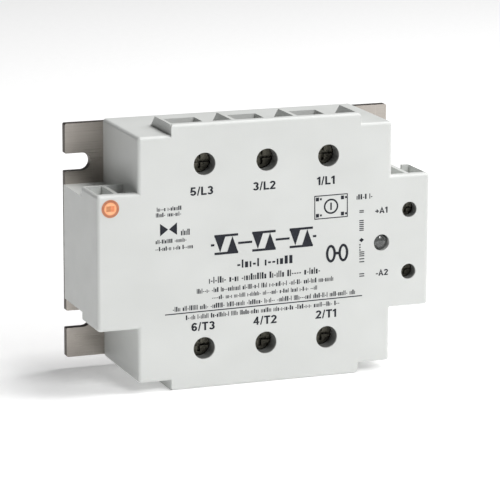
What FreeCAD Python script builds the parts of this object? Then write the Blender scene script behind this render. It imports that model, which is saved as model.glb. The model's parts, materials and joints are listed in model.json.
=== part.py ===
import FreeCAD, Part
import os

# Three-phase panel mount solid state relay.
# X runs to the right, Z up the panel, Y into the panel. The origin is the centre of the
# rear mounting face of the base plate. Depths are counted from the front face of the housing.

TOTAL_DEPTH = 35.0

PLATE_WIDTH = 103.4
PLATE_HEIGHT = 71.4
PLATE_THICKNESS = 2.5
COUNTERSINK_RADIUS = 3.2
COUNTERSINK_DEPTH = 1.6
PLATE_CORNER = 0.5
SLOT_PITCH_X = 93.0
SLOT_PITCH_Z = 48.0
SLOT_RADIUS = 2.7
SLOT_MOUTH_RADIUS = 0.3

BODY_HALF_WIDTH = 39.8
BODY_HALF_HEIGHT = 36.6
EDGE_RADIUS = 1.0
WALL = 1.8
FRONT_WALL = 2.2
INNER_WALL = 1.6
REAR_SKIN = 1.4
CHAMBER_WALL = 1.2

SHROUD_HALF_WIDTH = 29.6
SHROUD_TOP = 39.7
SHROUD_DEPTH = 14.8
SHROUD_FOOT_DEPTH = 18.3
SHROUD_FRONT_WALL = 2.4
SHROUD_RIB = 1.2
SHROUD_END_WALL = 0.8
GROOVE_WIDTH = 0.5
GROOVE_DEPTH = 0.6

SIDE_OUTER = 52.2
SIDE_HALF_HEIGHT = 17.4
SIDE_SHROUD_TOP = 20.2
SIDE_SHROUD_DEPTH = 15.0
SIDE_WALL = 0.8
SIDE_RIB_X = 45.7
SIDE_RIB = 1.2
SIDE_BACK_WALL = 1.2
WIRE_NOTCH_HALF_WIDTH = 3.4

POWER_PITCH = 19.4
POWER_Z = 27.6
POWER_HOLE_RADIUS = 3.35
POWER_HOLE_DEPTH = 4.7
POWER_HEAD_POCKET_RADIUS = 3.9
POWER_CHAMBER_HALF_WIDTH = 5.9
POWER_CHAMBER_FRONT = 8.4
POWER_CHAMBER_BACK = 28.0
POWER_CHAMBER_INNER_Z = 21.0
POWER_MOUTH_BACK = 25.8
MOUTH_SKIN = 3.0
POWER_HEAD_RADIUS = 3.6
POWER_HEAD_HEIGHT = 2.6
POWER_THREAD_RADIUS = 2.5
POWER_THREAD_PITCH = 0.8
POWER_BAR_FRONT = 18.3
POWER_BAR_THICKNESS = 1.5
POWER_BAR_HALF_WIDTH = 3.5
POWER_BAR_END_Z = 34.0
BAR_FOOT_END_Z = 12.6
POWER_CAGE_DEPTHS = (15.3, 18.0, 26.0, 27.6)
POWER_CAGE_SIDE = 1.2
POWER_CAGE_HALF_WIDTH = 5.2
POWER_CAGE_LENGTH = 8.0

CONTROL_X = 45.7
CONTROL_Z = 9.5
CONTROL_HOLE_RADIUS = 2.35
CONTROL_HOLE_DEPTH = 3.2
CONTROL_HEAD_POCKET_RADIUS = 2.9
CONTROL_CHAMBER_HALF_WIDTH = 4.1
CONTROL_CHAMBER_FRONT = 6.2
CONTROL_CHAMBER_BACK = 20.0
CONTROL_CHAMBER_INNER_Z = 5.6
CONTROL_MOUTH_FRONT = 12.3
CONTROL_HEAD_RADIUS = 2.6
CONTROL_HEAD_HEIGHT = 1.8
CONTROL_THREAD_RADIUS = 1.5
CONTROL_THREAD_PITCH = 0.5
CONTROL_BAR_FRONT = 13.2
CONTROL_BAR_THICKNESS = 1.0
CONTROL_BAR_HALF_WIDTH = 2.1
CONTROL_BAR_INNER_Z = 2.5
CONTROL_BAR_END_Z = 13.4
CONTROL_ARM_OUTER_Z = 4.8
CONTROL_ARM_END_X = 34.0
CONTROL_ARM_CLEARANCE = 0.2
CONTROL_CAGE_DEPTHS = (10.5, 12.5, 18.5, 19.7)
CONTROL_CAGE_SIDE = 1.0
CONTROL_CAGE_HALF_WIDTH = 3.6
CONTROL_CAGE_LENGTH = 6.0

THREAD_CLEARANCE = 0.05
TIP_GAP = 0.3

LED_X = 36.8
LED_RADIUS = 2.4
LED_HOLE_RADIUS = 2.5
LED_FRONT = 0.3
LED_DOME_SQUASH = 0.6

STICKER_X = -48.2
STICKER_Z = 16.3
STICKER_RADIUS = 2.65
STICKER_THICKNESS = 0.1

BOSS_X = 32.5
BOSS_Z = 29.0
BOSS_RADIUS = 3.6
HOUSING_SCREW_RADIUS = 1.5
HOUSING_SCREW_LENGTH = 12.0
HOUSING_SCREW_HEAD_RADIUS = 2.8
HOUSING_SCREW_HEAD_BACK = 0.3
HOUSING_SCREW_RECESS_HALF = 1.6
HOUSING_SCREW_RECESS_DEPTH = 0.9
HOUSING_SCREW_SLOT_HALF = 0.3

BOARD_FRONT = 11.6
BOARD_THICKNESS = 1.6
BOARD_HALF_WIDTH = 37.6
BOARD_HALF_HEIGHT = 18.6
BOARD_POST_X = 31.0
BOARD_POST_Z = 15.5
BOARD_POST_RADIUS = 2.2
BOARD_PIN_RADIUS = 1.0

SUBSTRATE_HALF_WIDTH = 8.2
SUBSTRATE_HALF_HEIGHT = 18.4
SOLDER_THICKNESS = 0.15
CERAMIC_THICKNESS = 0.8
PAD_THICKNESS = 0.3
DIE_THICKNESS = 0.4
STRAP_THICKNESS = 0.4
STRAP_HALF_WIDTH = 2.0
STRAP_OUTER_Z = 9.0
STRAP_INNER_Z = -0.5
STRAP_FOOT_Z = (-3.0, -0.1)
PAD_MARGIN = 0.8
PAD_GAP = 1.0
DIE_X = 3.8
DIE_Z = 6.5
DIE_HALF = 3.2
GATE_PIN_X = 6.45
GATE_PIN_Z = 8.9
GATE_PIN_RADIUS = 0.35
LED_LEAD_Z = 1.27
LED_LEAD_HALF = 0.25
LED_BACK = 8.8
LED_FLANGE_RADIUS = 2.9
HOLE_CLEARANCE = 0.05
POTTING_FRONT = 25.0

SNUBBER_HALF_WIDTH = 5.5
SNUBBER_HEIGHT = 9.5
SNUBBER_Z = (7.5, 12.5)
CLAMP_RADIUS = 4.5
CLAMP_THICKNESS = 4.0
CLAMP_Z = -13.0
OPTO_HALF_WIDTH = 4.4
OPTO_HALF_HEIGHT = 3.25
OPTO_STANDOFF = 0.4
OPTO_THICKNESS = 3.5
PIN_PITCH = 2.54
PIN_HALF_WIDTH = 0.25
PIN_THICKNESS = 0.4
PIN_HEIGHT = 2.2
RECTIFIER_X = (22.0, 30.0)
RECTIFIER_THICKNESS = 2.8
RECTIFIER_HALF_HEIGHT = 3.2
CHIP_HALF_LENGTH = 1.2
CHIP_HALF_HEIGHT = 0.8
CHIP_THICKNESS = 0.7
CHIP_END = 0.5
CHIP_ROW_SHIFT = -2.4
CHIP_COLUMNS = 7
CHIP_PITCH = 7.2
CHIP_Z = 6.0

PHASES = (-1, 0, 1)
SIDES = (1, -1)


def depth_box(x0, x1, depth0, depth1, z0, z1):
    """Box between two depths behind the front face."""
    low = FreeCAD.Vector(min(x0, x1), depth0 - TOTAL_DEPTH, min(z0, z1))
    return Part.makeBox(abs(x1 - x0), depth1 - depth0, abs(z1 - z0), low)


def depth_cylinder(x, z, radius, depth0, depth1):
    """Round bar along Y between two depths."""
    base = FreeCAD.Vector(x, depth0 - TOTAL_DEPTH, z)
    return Part.makeCylinder(radius, depth1 - depth0, base, FreeCAD.Vector(0, 1, 0))


def depth_cone(x, z, radius0, radius1, depth0, depth1):
    """Cone along Y between two depths."""
    base = FreeCAD.Vector(x, depth0 - TOTAL_DEPTH, z)
    return Part.makeCone(radius0, radius1, depth1 - depth0, base, FreeCAD.Vector(0, 1, 0))


def joined(shapes):
    """One fused body."""
    body = shapes[0]
    for shape in shapes[1:]:
        body = body.fuse(shape)
    return body.removeSplitter()


def save(name, shape):
    shape.exportStep(os.path.join("parts", name + ".step"))


def base_plate():
    """Metal plate with an open-ended slot for each mounting screw."""
    front = TOTAL_DEPTH - PLATE_THICKNESS
    half_w = PLATE_WIDTH / 2
    half_h = PLATE_HEIGHT / 2
    plate = depth_box(-half_w, half_w, front, TOTAL_DEPTH, -half_h, half_h)
    corners = []
    for edge in plate.Edges:
        box = edge.BoundBox
        if box.YLength > 1.0 and box.XLength < 0.01 and box.ZLength < 0.01:
            corners.append(edge)
    plate = plate.makeFillet(PLATE_CORNER, corners)
    for side in SIDES:
        for level in SIDES:
            x = side * SLOT_PITCH_X / 2
            z = level * SLOT_PITCH_Z / 2
            plate = plate.cut(depth_cylinder(x, z, SLOT_RADIUS, front - 1, TOTAL_DEPTH + 1))
            z0 = z - SLOT_RADIUS
            z1 = z + SLOT_RADIUS
            plate = plate.cut(depth_box(x, side * (half_w + 1), front - 1, TOTAL_DEPTH + 1, z0, z1))
    mouths = []
    for edge in plate.Edges:
        box = edge.BoundBox
        at_edge = abs(abs(box.XMin) - half_w) < 0.01 and box.XLength < 0.01
        at_slot = abs(abs(abs(box.ZMin) - SLOT_PITCH_Z / 2) - SLOT_RADIUS) < 0.01
        if at_edge and at_slot and box.YLength > 1.0 and box.ZLength < 0.01:
            mouths.append(edge)
    plate = plate.makeFillet(SLOT_MOUTH_RADIUS, mouths)
    reach = HOUSING_SCREW_RADIUS + 0.1
    for side in SIDES:
        for level in SIDES:
            x = side * BOSS_X
            z = level * BOSS_Z
            plate = plate.cut(depth_cylinder(x, z, reach, front - 1, TOTAL_DEPTH + 1))
            sink_front = TOTAL_DEPTH - COUNTERSINK_DEPTH
            plate = plate.cut(depth_cone(x, z, reach, COUNTERSINK_RADIUS, sink_front, TOTAL_DEPTH))
    return plate


def rounded_block(x0, x1, depth0, depth1, z0, z1, radius):
    """Block with rounded front edges and rounded edges along its depth."""
    block = depth_box(x0, x1, depth0, depth1, z0, z1)
    chosen = []
    for edge in block.Edges:
        box = edge.BoundBox
        front = box.YMax < depth0 - TOTAL_DEPTH + 0.01
        along = box.YLength > 1.0
        if front or along:
            chosen.append(edge)
    return block.makeFillet(radius, chosen)


def shroud_wall(x0, x1, level):
    """Thin upright wall of a terminal shroud, sloping down at its back end."""
    low = BODY_HALF_HEIGHT - 1.0
    y0 = -TOTAL_DEPTH + 1.0
    slope = (SHROUD_FOOT_DEPTH - SHROUD_DEPTH) / (SHROUD_TOP - BODY_HALF_HEIGHT)
    foot = SHROUD_DEPTH + slope * (SHROUD_TOP - low)
    points = [
        FreeCAD.Vector(x0, y0, level * low),
        FreeCAD.Vector(x0, y0, level * SHROUD_TOP),
        FreeCAD.Vector(x0, SHROUD_DEPTH - TOTAL_DEPTH, level * SHROUD_TOP),
        FreeCAD.Vector(x0, foot - TOTAL_DEPTH, level * low),
        FreeCAD.Vector(x0, y0, level * low),
    ]
    face = Part.Face(Part.makePolygon(points))
    return face.extrude(FreeCAD.Vector(x1 - x0, 0, 0))


def terminal_shroud(level):
    """Raised lip in front of the power wire entries, with ribs between them."""
    low = BODY_HALF_HEIGHT - 6.0
    half = SHROUD_HALF_WIDTH
    lip = depth_box(-half, half, 0, SHROUD_FRONT_WALL, level * low, level * SHROUD_TOP)
    rims = []
    for edge in lip.Edges:
        box = edge.BoundBox
        at_top = abs(abs(box.ZMin) - SHROUD_TOP) < 0.01 and box.ZLength < 0.01
        at_front = box.YMax < -TOTAL_DEPTH + 0.01
        at_end = box.YLength > 1.0 and at_top
        if (at_top and at_front) or at_end:
            rims.append(edge)
    lip = lip.makeFillet(EDGE_RADIUS, rims)
    walls = [lip]
    walls.append(shroud_wall(-SHROUD_HALF_WIDTH, -SHROUD_HALF_WIDTH + SHROUD_END_WALL, level))
    walls.append(shroud_wall(SHROUD_HALF_WIDTH - SHROUD_END_WALL, SHROUD_HALF_WIDTH, level))
    for side in SIDES:
        x = side * POWER_PITCH / 2
        walls.append(shroud_wall(x - SHROUD_RIB / 2, x + SHROUD_RIB / 2, level))
    return walls


def side_block(side):
    """Narrow block beside the main body, with a raised lip at its top and bottom."""
    plate_front = TOTAL_DEPTH - PLATE_THICKNESS
    x_in = side * (BODY_HALF_WIDTH - 2.0)
    x_out = side * SIDE_OUTER
    x0 = min(x_in, x_out)
    x1 = max(x_in, x_out)
    body = rounded_block(x0, x1, 0, plate_front, -SIDE_SHROUD_TOP, SIDE_SHROUD_TOP, EDGE_RADIUS)
    for level in SIDES:
        z0 = level * SIDE_HALF_HEIGHT
        z1 = level * (SIDE_SHROUD_TOP + 1)
        body = body.cut(depth_box(x0 - 1, x1 + 1, SIDE_SHROUD_DEPTH, plate_front + 1, z0, z1))
        pocket_back = SIDE_SHROUD_DEPTH - SIDE_BACK_WALL
        inner = (BODY_HALF_WIDTH, SIDE_RIB_X - SIDE_RIB / 2)
        outer = (SIDE_RIB_X + SIDE_RIB / 2, SIDE_OUTER - SIDE_WALL)
        for near, far in (inner, outer):
            body = body.cut(depth_box(side * near, side * far, SHROUD_FRONT_WALL, pocket_back, z0, z1))
    return body


def power_terminal_space(x, level):
    """Everything cut from the housing for one power clamp."""
    z = level * POWER_Z
    inner = level * POWER_CHAMBER_INNER_Z
    half = POWER_CHAMBER_HALF_WIDTH
    skin = level * (BODY_HALF_HEIGHT - MOUTH_SKIN)
    surface = level * (BODY_HALF_HEIGHT + 0.5)
    pocket_back = POWER_CHAMBER_FRONT + 0.5
    cuts = [depth_cylinder(x, z, POWER_HOLE_RADIUS, -1, POWER_HOLE_DEPTH + 0.5)]
    cuts.append(depth_cylinder(x, z, POWER_HEAD_POCKET_RADIUS, POWER_HOLE_DEPTH, pocket_back))
    cuts.append(depth_box(x - half, x + half, POWER_CHAMBER_FRONT, POWER_CHAMBER_BACK, inner, skin))
    cuts.append(depth_box(x - half, x + half, POWER_CHAMBER_FRONT, POWER_MOUTH_BACK, inner, surface))
    bar_half = POWER_BAR_HALF_WIDTH + 0.1
    bar_back = POWER_BAR_FRONT + POWER_BAR_THICKNESS + 0.1
    slot_end = level * (POWER_CHAMBER_INNER_Z - 4.0)
    cuts.append(depth_box(x - bar_half, x + bar_half, POWER_BAR_FRONT - 0.1, bar_back, slot_end, inner))
    return cuts


def control_terminal_space(level):
    """Everything cut from the housing for one control clamp."""
    z = level * CONTROL_Z
    inner = level * CONTROL_CHAMBER_INNER_Z
    half = CONTROL_CHAMBER_HALF_WIDTH
    skin = level * (SIDE_HALF_HEIGHT - MOUTH_SKIN)
    top = level * (SIDE_SHROUD_TOP + 0.5)
    surface = level * SIDE_HALF_HEIGHT
    plate_front = TOTAL_DEPTH - PLATE_THICKNESS
    x0 = CONTROL_X - half
    x1 = CONTROL_X + half
    cuts = [depth_cylinder(CONTROL_X, z, CONTROL_HOLE_RADIUS, -1, CONTROL_HOLE_DEPTH + 0.5)]
    pocket_back = CONTROL_CHAMBER_FRONT + 0.5
    pocket = depth_cylinder(CONTROL_X, z, CONTROL_HEAD_POCKET_RADIUS, CONTROL_HOLE_DEPTH, pocket_back)
    cuts.append(pocket)
    cuts.append(depth_box(x0, x1, CONTROL_CHAMBER_FRONT, CONTROL_CHAMBER_BACK, inner, skin))
    cuts.append(depth_box(x0, x1, CONTROL_MOUTH_FRONT, CONTROL_CHAMBER_BACK, inner, surface))
    notch_x0 = CONTROL_X - WIRE_NOTCH_HALF_WIDTH
    notch_x1 = CONTROL_X + WIRE_NOTCH_HALF_WIDTH
    notch_front = SIDE_SHROUD_DEPTH - SIDE_BACK_WALL
    cuts.append(depth_box(notch_x0, notch_x1, notch_front, CONTROL_CHAMBER_BACK, inner, top))
    bar_half = CONTROL_BAR_HALF_WIDTH + 0.1
    bar_x0 = CONTROL_X - bar_half
    bar_x1 = CONTROL_X + bar_half
    front = CONTROL_BAR_FRONT - 0.1
    back = CONTROL_BAR_FRONT + CONTROL_BAR_THICKNESS + 0.1
    channel_start = BODY_HALF_WIDTH - 4
    channel_in = level * (CONTROL_BAR_INNER_Z - CONTROL_ARM_CLEARANCE)
    channel_out = level * (CONTROL_ARM_OUTER_Z + CONTROL_ARM_CLEARANCE)
    cuts.append(depth_box(channel_start, bar_x1, front, plate_front + 1, channel_in, channel_out))
    cuts.append(depth_box(bar_x0, bar_x1, front, back, level * 4.0, inner))
    return cuts


def shroud_grooves():
    """Narrow groove along the foot of each end wall of the terminal shrouds."""
    grooves = []
    for side in SIDES:
        x0 = side * SHROUD_HALF_WIDTH
        x1 = side * (SHROUD_HALF_WIDTH + GROOVE_WIDTH)
        for level in SIDES:
            z0 = level * (BODY_HALF_HEIGHT - GROOVE_DEPTH)
            z1 = level * (BODY_HALF_HEIGHT + 1)
            grooves.append(depth_box(x0, x1, EDGE_RADIUS + 0.2, SHROUD_FOOT_DEPTH, z0, z1))
    return grooves


def rear_cavities():
    """Hollows moulded from the rear of the housing."""
    plate_front = TOTAL_DEPTH - PLATE_THICKNESS
    inner_wall = POWER_CHAMBER_INNER_Z - INNER_WALL
    half = BODY_HALF_WIDTH - WALL
    cuts = [depth_box(-half, half, FRONT_WALL, plate_front + 1, -inner_wall, inner_wall)]
    top = BODY_HALF_HEIGHT - REAR_SKIN
    chamber_wall = POWER_CHAMBER_HALF_WIDTH + CHAMBER_WALL
    behind = POWER_CHAMBER_BACK + CHAMBER_WALL
    for level in SIDES:
        low = level * POWER_CHAMBER_INNER_Z
        for side in SIDES:
            x_in = side * (POWER_PITCH + chamber_wall)
            cuts.append(depth_box(x_in, side * half, FRONT_WALL, plate_front + 1, low, level * top))
            x0 = side * chamber_wall
            x1 = side * (POWER_PITCH - chamber_wall)
            cuts.append(depth_box(x0, x1, FRONT_WALL, plate_front + 1, low, level * top))
        for phase in PHASES:
            x = phase * POWER_PITCH
            span = POWER_CHAMBER_HALF_WIDTH
            cuts.append(depth_box(x - span, x + span, behind, plate_front + 1, low, level * top))
    side_top = SIDE_HALF_HEIGHT - REAR_SKIN
    side_front = CONTROL_CHAMBER_BACK + CHAMBER_WALL
    for side in SIDES:
        x0 = side * (BODY_HALF_WIDTH + REAR_SKIN)
        x1 = side * (SIDE_OUTER - REAR_SKIN)
        cuts.append(depth_box(x0, x1, side_front, plate_front + 1, -side_top, side_top))
    cuts.append(depth_cylinder(LED_X, 0, LED_RADIUS + 0.9, FRONT_WALL, plate_front + 1))
    return cuts


def housing():
    """One-piece moulding, open at the rear and closed there by the base plate."""
    plate_front = TOTAL_DEPTH - PLATE_THICKNESS
    half_w = BODY_HALF_WIDTH
    half_h = BODY_HALF_HEIGHT
    solids = [rounded_block(-half_w, half_w, 0, plate_front, -half_h, half_h, EDGE_RADIUS)]
    for side in SIDES:
        solids.append(side_block(side))
    for level in SIDES:
        solids.extend(terminal_shroud(level))
    body = joined(solids)
    cuts = rear_cavities()
    cuts.extend(shroud_grooves())
    for level in SIDES:
        for phase in PHASES:
            cuts.extend(power_terminal_space(phase * POWER_PITCH, level))
        cuts.extend(control_terminal_space(level))
    cuts.append(depth_cylinder(LED_X, 0, LED_HOLE_RADIUS, -1, FRONT_WALL + 1))
    body = body.cut(cuts)
    return body.fuse(inner_posts()).removeSplitter()


def inner_posts():
    """Screw bosses and the posts that carry the circuit board."""
    plate_front = TOTAL_DEPTH - PLATE_THICKNESS
    posts = []
    for side in SIDES:
        for level in SIDES:
            x = side * BOSS_X
            z = level * BOSS_Z
            boss = depth_cylinder(x, z, BOSS_RADIUS, FRONT_WALL - 0.5, plate_front)
            hole_front = TOTAL_DEPTH - HOUSING_SCREW_LENGTH - 1.0
            pilot = depth_cylinder(x, z, HOUSING_SCREW_RADIUS + 0.02, hole_front, plate_front)
            posts.append(boss.cut(pilot))
            x = side * BOARD_POST_X
            z = level * BOARD_POST_Z
            post = depth_cylinder(x, z, BOARD_POST_RADIUS, FRONT_WALL - 0.5, BOARD_FRONT)
            pin_tip = BOARD_FRONT + BOARD_THICKNESS + 1.0
            pin = depth_cylinder(x, z, BOARD_PIN_RADIUS, BOARD_FRONT - 0.5, pin_tip)
            posts.append(post.fuse(pin))
    return posts


def housing_screws():
    """Four countersunk screws that hold the housing to the plate."""
    screws = []
    for side in SIDES:
        for level in SIDES:
            x = side * BOSS_X
            z = level * BOSS_Z
            tip = TOTAL_DEPTH - HOUSING_SCREW_LENGTH
            head_front = TOTAL_DEPTH - COUNTERSINK_DEPTH
            head_back = TOTAL_DEPTH - HOUSING_SCREW_HEAD_BACK
            shank = depth_cylinder(x, z, HOUSING_SCREW_RADIUS, tip, head_back - 0.3)
            head = depth_cone(x, z, HOUSING_SCREW_RADIUS, HOUSING_SCREW_HEAD_RADIUS, head_front, head_back)
            screw = joined([shank, head])
            reach = HOUSING_SCREW_RECESS_HALF
            half = HOUSING_SCREW_SLOT_HALF
            recess = head_back - HOUSING_SCREW_RECESS_DEPTH
            for turned in (0, 90):
                bar = depth_box(x - reach, x + reach, recess, TOTAL_DEPTH, z - half, z + half)
                bar.rotate(FreeCAD.Vector(x, 0, z), FreeCAD.Vector(0, 1, 0), turned)
                screw = screw.cut(bar)
            screws.append(screw)
    return Part.makeCompound(screws)


def clamp_screw(x, z, head_front, head_height, head_radius, radius, pitch, tip):
    """Captive terminal screw with a combined slot and cross, grooved like its thread."""
    head_back = head_front + head_height
    head = depth_cylinder(x, z, head_radius, head_front, head_back)
    rim = []
    for edge in head.Edges:
        if edge.BoundBox.YMax < head_front - TOTAL_DEPTH + 0.01:
            rim.append(edge)
    head = head.makeFillet(0.18 * head_height, rim)
    core = radius - 0.6 * pitch
    points = [FreeCAD.Vector(x, head_back - 0.3 - TOTAL_DEPTH, z)]
    points.append(FreeCAD.Vector(x + core, head_back - 0.3 - TOTAL_DEPTH, z))
    turns = int((tip - head_back - 0.6) / pitch)
    start = tip - 0.5 - turns * pitch
    for turn in range(turns):
        low = start + turn * pitch - TOTAL_DEPTH
        points.append(FreeCAD.Vector(x + core, low, z))
        points.append(FreeCAD.Vector(x + radius, low + 0.4 * pitch, z))
        points.append(FreeCAD.Vector(x + radius, low + 0.6 * pitch, z))
    points.append(FreeCAD.Vector(x + core, tip - 0.5 - TOTAL_DEPTH, z))
    points.append(FreeCAD.Vector(x + core - 0.3, tip - TOTAL_DEPTH, z))
    points.append(FreeCAD.Vector(x, tip - TOTAL_DEPTH, z))
    points.append(points[0])
    face = Part.Face(Part.makePolygon(points))
    shank = face.revolve(FreeCAD.Vector(x, 0, z), FreeCAD.Vector(0, 1, 0), 360)
    screw = head.fuse(shank)
    slot_half = 0.13 * head_radius
    z0 = z - slot_half
    z1 = z + slot_half
    arm = 0.62 * head_radius
    slot_floor = head_front + 0.35 * head_height
    cross_floor = head_front + 0.5 * head_height
    slot = depth_box(x - head_radius, x + head_radius, head_front - 1, slot_floor, z0, z1)
    cross_a = depth_box(x - arm, x + arm, head_front - 1, cross_floor, z0, z1)
    cross_b = depth_box(x - slot_half, x + slot_half, head_front - 1, cross_floor, z - arm, z + arm)
    return screw.cut([slot, cross_a, cross_b]).removeSplitter()


def clamp_cage(x, z, half_width, length, depths, side_wall, thread_radius):
    """Rising clamp cage: a square ring whose front wall is threaded. The four depths are those
    of its front, its window's front and back, and its back."""
    front, inner_front, inner_back, back = depths
    ring = depth_box(x - half_width, x + half_width, front, back, z - length / 2, z + length / 2)
    upright = []
    for edge in ring.Edges:
        if edge.BoundBox.ZLength > 1.0:
            upright.append(edge)
    ring = ring.makeFillet(0.5, upright)
    inner_half = half_width - side_wall
    window = depth_box(x - inner_half, x + inner_half, inner_front, inner_back, z - length, z + length)
    thread = depth_cylinder(x, z, thread_radius + THREAD_CLEARANCE, front - 1, inner_front + 0.5)
    return ring.cut([window, thread])


def power_screw(x, level):
    front = POWER_HOLE_DEPTH + TIP_GAP
    tip = POWER_BAR_FRONT - TIP_GAP
    return clamp_screw(
        x, level * POWER_Z, front, POWER_HEAD_HEIGHT, POWER_HEAD_RADIUS,
        POWER_THREAD_RADIUS, POWER_THREAD_PITCH, tip)


def power_cage(x, level):
    return clamp_cage(
        x, level * POWER_Z, POWER_CAGE_HALF_WIDTH, POWER_CAGE_LENGTH,
        POWER_CAGE_DEPTHS, POWER_CAGE_SIDE, POWER_THREAD_RADIUS)


def control_screw(level):
    front = CONTROL_HOLE_DEPTH + TIP_GAP
    tip = CONTROL_BAR_FRONT - TIP_GAP
    return clamp_screw(
        CONTROL_X, level * CONTROL_Z, front, CONTROL_HEAD_HEIGHT, CONTROL_HEAD_RADIUS,
        CONTROL_THREAD_RADIUS, CONTROL_THREAD_PITCH, tip)


def control_cage(level):
    return clamp_cage(
        CONTROL_X, level * CONTROL_Z, CONTROL_CAGE_HALF_WIDTH, CONTROL_CAGE_LENGTH,
        CONTROL_CAGE_DEPTHS, CONTROL_CAGE_SIDE, CONTROL_THREAD_RADIUS)


def power_bar(x, level):
    """Bent bar: tongue through the cage, leg down to the substrate, soldered foot."""
    half = POWER_BAR_HALF_WIDTH
    pad_top = substrate_stack()[2]
    back = POWER_BAR_FRONT + POWER_BAR_THICKNESS
    leg_out = POWER_CHAMBER_INNER_Z - 2.1
    leg_in = leg_out - POWER_BAR_THICKNESS
    tongue = depth_box(x - half, x + half, POWER_BAR_FRONT, back, level * leg_in, level * POWER_BAR_END_Z)
    leg = depth_box(x - half, x + half, POWER_BAR_FRONT, pad_top, level * leg_in, level * leg_out)
    foot_front = pad_top - POWER_BAR_THICKNESS
    foot = depth_box(x - half, x + half, foot_front, pad_top, level * BAR_FOOT_END_Z, level * leg_out)
    return joined([tongue, leg, foot])


def control_bar(level):
    """Flat bar from the control clamp to the circuit board."""
    x0 = CONTROL_X - CONTROL_BAR_HALF_WIDTH
    x1 = CONTROL_X + CONTROL_BAR_HALF_WIDTH
    front = CONTROL_BAR_FRONT
    back = front + CONTROL_BAR_THICKNESS
    inner = level * CONTROL_BAR_INNER_Z
    tongue = depth_box(x0, x1, front, back, inner, level * CONTROL_BAR_END_Z)
    arm = depth_box(CONTROL_ARM_END_X, CONTROL_X, front, back, inner, level * CONTROL_ARM_OUTER_Z)
    return joined([tongue, arm])


def substrate_stack():
    """Depths of the substrate layers: ceramic front, solder front, pad front, die front."""
    plate_front = TOTAL_DEPTH - PLATE_THICKNESS
    solder_front = plate_front - SOLDER_THICKNESS
    ceramic_front = solder_front - CERAMIC_THICKNESS
    pad_front = ceramic_front - PAD_THICKNESS
    die_front = pad_front - DIE_THICKNESS
    return (solder_front, ceramic_front, pad_front, die_front)


def power_stack():
    """Solder, ceramic, copper pads, dies and straps for the three phases."""
    plate_front = TOTAL_DEPTH - PLATE_THICKNESS
    solder_front, ceramic_front, pad_front, die_front = substrate_stack()
    names = ("solder_layers", "power_substrates", "substrate_pads", "thyristor_dies", "die_straps")
    layers = {name: [] for name in names}
    w = SUBSTRATE_HALF_WIDTH
    h = SUBSTRATE_HALF_HEIGHT
    for phase in PHASES:
        x = phase * POWER_PITCH
        layers["solder_layers"].append(depth_box(x - w, x + w, solder_front, plate_front, -h, h))
        layers["power_substrates"].append(depth_box(x - w, x + w, ceramic_front, solder_front, -h, h))
        x0 = x - w + PAD_MARGIN
        x1 = x + w - PAD_MARGIN
        for level in SIDES:
            pad_end = level * (h - PAD_MARGIN)
            pad = depth_box(x0, x1, pad_front, ceramic_front, level * PAD_GAP, pad_end)
            layers["substrate_pads"].append(pad)
            cx = x - level * DIE_X
            cz = level * DIE_Z
            die_x0 = cx - DIE_HALF
            die_x1 = cx + DIE_HALF
            die = depth_box(die_x0, die_x1, die_front, pad_front, cz - DIE_HALF, cz + DIE_HALF)
            layers["thyristor_dies"].append(die)
            strap_x0 = cx - STRAP_HALF_WIDTH
            strap_x1 = cx + STRAP_HALF_WIDTH
            strap_front = die_front - STRAP_THICKNESS
            z_in = level * STRAP_INNER_Z
            z_out = level * STRAP_OUTER_Z
            bridge = depth_box(strap_x0, strap_x1, strap_front, die_front, z_in, z_out)
            z_far, z_near = [level * z for z in STRAP_FOOT_Z]
            foot = depth_box(strap_x0, strap_x1, die_front, pad_front, z_far, z_near)
            layers["die_straps"].append(joined([bridge, foot]))
    return layers


def gate_pins():
    """Pins from the dies to the circuit board."""
    die_front = substrate_stack()[3]
    pins = []
    for phase in PHASES:
        for level in SIDES:
            x = phase * POWER_PITCH - level * GATE_PIN_X
            z = level * GATE_PIN_Z
            pins.append(depth_cylinder(x, z, GATE_PIN_RADIUS, BOARD_FRONT - 0.5, die_front))
    return pins


def circuit_board():
    """Board carried on the four posts."""
    back = BOARD_FRONT + BOARD_THICKNESS
    half_w = BOARD_HALF_WIDTH
    half_h = BOARD_HALF_HEIGHT
    board = depth_box(-half_w, half_w, BOARD_FRONT, back, -half_h, half_h)
    before = BOARD_FRONT - 1
    after = back + 1
    holes = []
    for level in SIDES:
        for side in SIDES:
            x = side * BOARD_POST_X
            z = level * BOARD_POST_Z
            holes.append(depth_cylinder(x, z, BOARD_PIN_RADIUS + HOLE_CLEARANCE, before, after))
        for phase in PHASES:
            x = phase * POWER_PITCH - level * GATE_PIN_X
            z = level * GATE_PIN_Z
            holes.append(depth_cylinder(x, z, GATE_PIN_RADIUS + HOLE_CLEARANCE, before, after))
        half = LED_LEAD_HALF + HOLE_CLEARANCE
        z = level * LED_LEAD_Z
        holes.append(depth_box(LED_X - half, LED_X + half, before, after, z - half, z + half))
    return board.cut(holes)


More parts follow.
